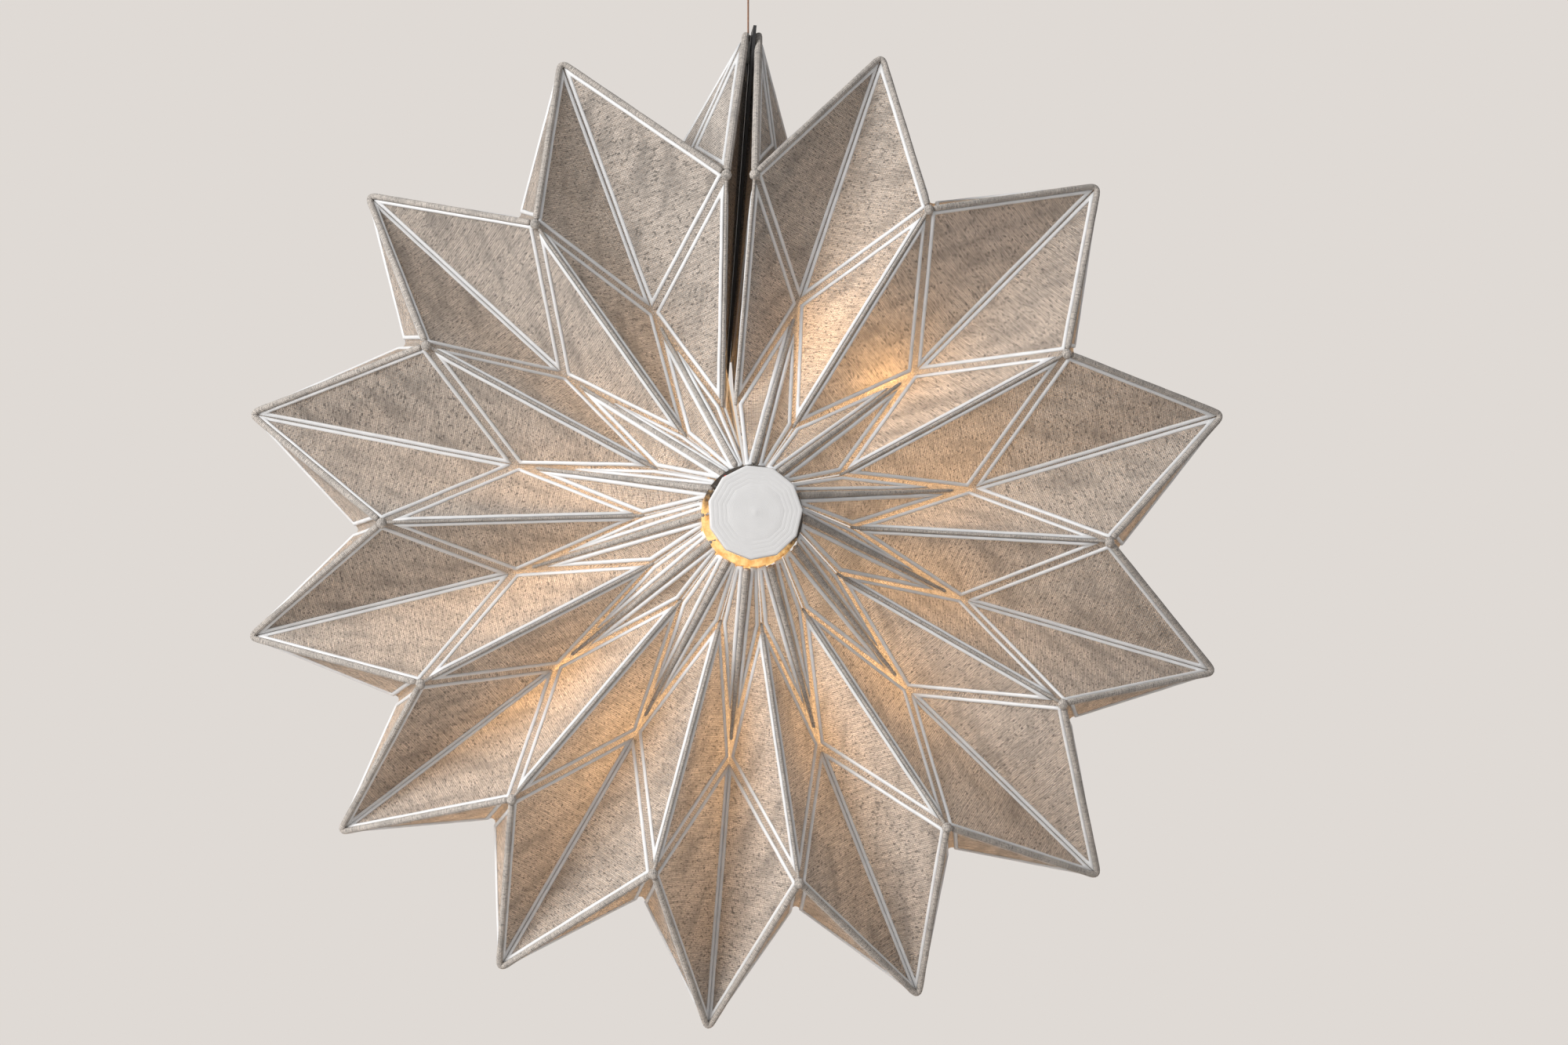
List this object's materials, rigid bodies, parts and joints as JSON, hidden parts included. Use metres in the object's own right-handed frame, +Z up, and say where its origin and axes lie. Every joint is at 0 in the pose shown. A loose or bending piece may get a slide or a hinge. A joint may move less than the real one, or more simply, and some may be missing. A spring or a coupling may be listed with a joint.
{
  "type": "folded star lampshade",
  "caption": "Pleated fabric star lampshade with printed rib frames on its folded panels, fanned round a lit hub with a push-on cap and hung from a thin wire.",
  "frame": {"origin": "centre of the hanging eyelet's bore, at the top of the wire", "axes": "+Z up along the wire, the star's front faces -Y, its rear +Y"},
  "size_m": [0.3079, 0.0799, 0.3681],
  "materials": {
    "fabric": "linen-look knit, flecked, matte",
    "rib": "printed bead, satin",
    "cap": "printed, fine rings",
    "hub": "printed, layered",
    "collar": "printed, lit through",
    "strip": "flexible strip",
    "led": "warm light",
    "lead_red": "insulation",
    "lead_black": "insulation",
    "connector": "moulded",
    "gland": "matte",
    "spine": "matte black",
    "clip": "translucent",
    "wire": "enamelled",
    "eyelet": "satin"
  },
  "bodies": {
    "hub": {"hub_post": "hub", "pleat_collar": "collar", "led_strip": "strip", "led_chips": "led", "lead_red": "lead_red", "lead_black": "lead_black", "lead_connector": "connector", "cord_gland": "gland", "seam_spine": "spine", "wire_clip": "clip", "hanging_wire": "wire", "hanging_eyelet": "eyelet", "fabric_petal_07": "fabric", "ribs_petal_07": "rib"},
    "petal_01": {"fabric_petal_01": "fabric", "ribs_petal_01": "rib", "fabric_seam_right": "fabric", "ribs_seam_right": "rib"},
    "petal_02": {"fabric_petal_02": "fabric", "ribs_petal_02": "rib"},
    "petal_03": {"fabric_petal_03": "fabric", "ribs_petal_03": "rib"},
    "petal_04": {"fabric_petal_04": "fabric", "ribs_petal_04": "rib"},
    "petal_05": {"fabric_petal_05": "fabric", "ribs_petal_05": "rib"},
    "petal_06": {"fabric_petal_06": "fabric", "ribs_petal_06": "rib"},
    "petal_08": {"fabric_petal_08": "fabric", "ribs_petal_08": "rib"},
    "petal_09": {"fabric_petal_09": "fabric", "ribs_petal_09": "rib"},
    "petal_10": {"fabric_petal_10": "fabric", "ribs_petal_10": "rib"},
    "petal_11": {"fabric_petal_11": "fabric", "ribs_petal_11": "rib"},
    "petal_12": {"fabric_petal_12": "fabric", "ribs_petal_12": "rib"},
    "petal_13": {"fabric_petal_13": "fabric", "ribs_petal_13": "rib", "fabric_seam_left": "fabric", "ribs_seam_left": "rib"},
    "cap": {"end_cap": "cap"}
  },
  "joints": [
    {"name": "fan_06", "type": "hinge", "parent": "hub", "child": "petal_06", "pos_m": [-0.00377, -0.046, -0.206], "axis": [0, 1, 0], "range_deg": [0, 0.3]},
    {"name": "fan_05", "type": "hinge", "parent": "petal_06", "child": "petal_05", "pos_m": [-0.00377, -0.046, -0.206], "axis": [0, 1, 0], "range_deg": [0, 0.3]},
    {"name": "fan_04", "type": "hinge", "parent": "petal_05", "child": "petal_04", "pos_m": [-0.00377, -0.046, -0.206], "axis": [0, 1, 0], "range_deg": [0, 0.3]},
    {"name": "fan_03", "type": "hinge", "parent": "petal_04", "child": "petal_03", "pos_m": [-0.00377, -0.046, -0.206], "axis": [0, 1, 0], "range_deg": [0, 0.3]},
    {"name": "fan_02", "type": "hinge", "parent": "petal_03", "child": "petal_02", "pos_m": [-0.00377, -0.046, -0.206], "axis": [0, 1, 0], "range_deg": [0, 0.3]},
    {"name": "fan_01", "type": "hinge", "parent": "petal_02", "child": "petal_01", "pos_m": [-0.00377, -0.046, -0.206], "axis": [0, 1, 0], "range_deg": [0, 0.3]},
    {"name": "fan_08", "type": "hinge", "parent": "hub", "child": "petal_08", "pos_m": [-0.00377, -0.046, -0.206], "axis": [0, -1, 0], "range_deg": [0, 0.3]},
    {"name": "fan_09", "type": "hinge", "parent": "petal_08", "child": "petal_09", "pos_m": [-0.00377, -0.046, -0.206], "axis": [0, -1, 0], "range_deg": [0, 0.3]},
    {"name": "fan_10", "type": "hinge", "parent": "petal_09", "child": "petal_10", "pos_m": [-0.00377, -0.046, -0.206], "axis": [0, -1, 0], "range_deg": [0, 0.3]},
    {"name": "fan_11", "type": "hinge", "parent": "petal_10", "child": "petal_11", "pos_m": [-0.00377, -0.046, -0.206], "axis": [0, -1, 0], "range_deg": [0, 0.3]},
    {"name": "fan_12", "type": "hinge", "parent": "petal_11", "child": "petal_12", "pos_m": [-0.00377, -0.046, -0.206], "axis": [0, -1, 0], "range_deg": [0, 0.3]},
    {"name": "fan_13", "type": "hinge", "parent": "petal_12", "child": "petal_13", "pos_m": [-0.00377, -0.046, -0.206], "axis": [0, -1, 0], "range_deg": [0, 0.3]},
    {"name": "cap_pull", "type": "slide", "parent": "hub", "child": "cap", "axis": [0, -1, 0], "range_m": [0, 0.015]}
  ],
  "couplings": [
    {"joint": "fan_05", "follows": "fan_06", "ratio": 1},
    {"joint": "fan_04", "follows": "fan_06", "ratio": 1},
    {"joint": "fan_03", "follows": "fan_06", "ratio": 1},
    {"joint": "fan_02", "follows": "fan_06", "ratio": 1},
    {"joint": "fan_01", "follows": "fan_06", "ratio": 1},
    {"joint": "fan_08", "follows": "fan_06", "ratio": 1},
    {"joint": "fan_09", "follows": "fan_06", "ratio": 1},
    {"joint": "fan_10", "follows": "fan_06", "ratio": 1},
    {"joint": "fan_11", "follows": "fan_06", "ratio": 1},
    {"joint": "fan_12", "follows": "fan_06", "ratio": 1},
    {"joint": "fan_13", "follows": "fan_06", "ratio": 1}
  ]
}
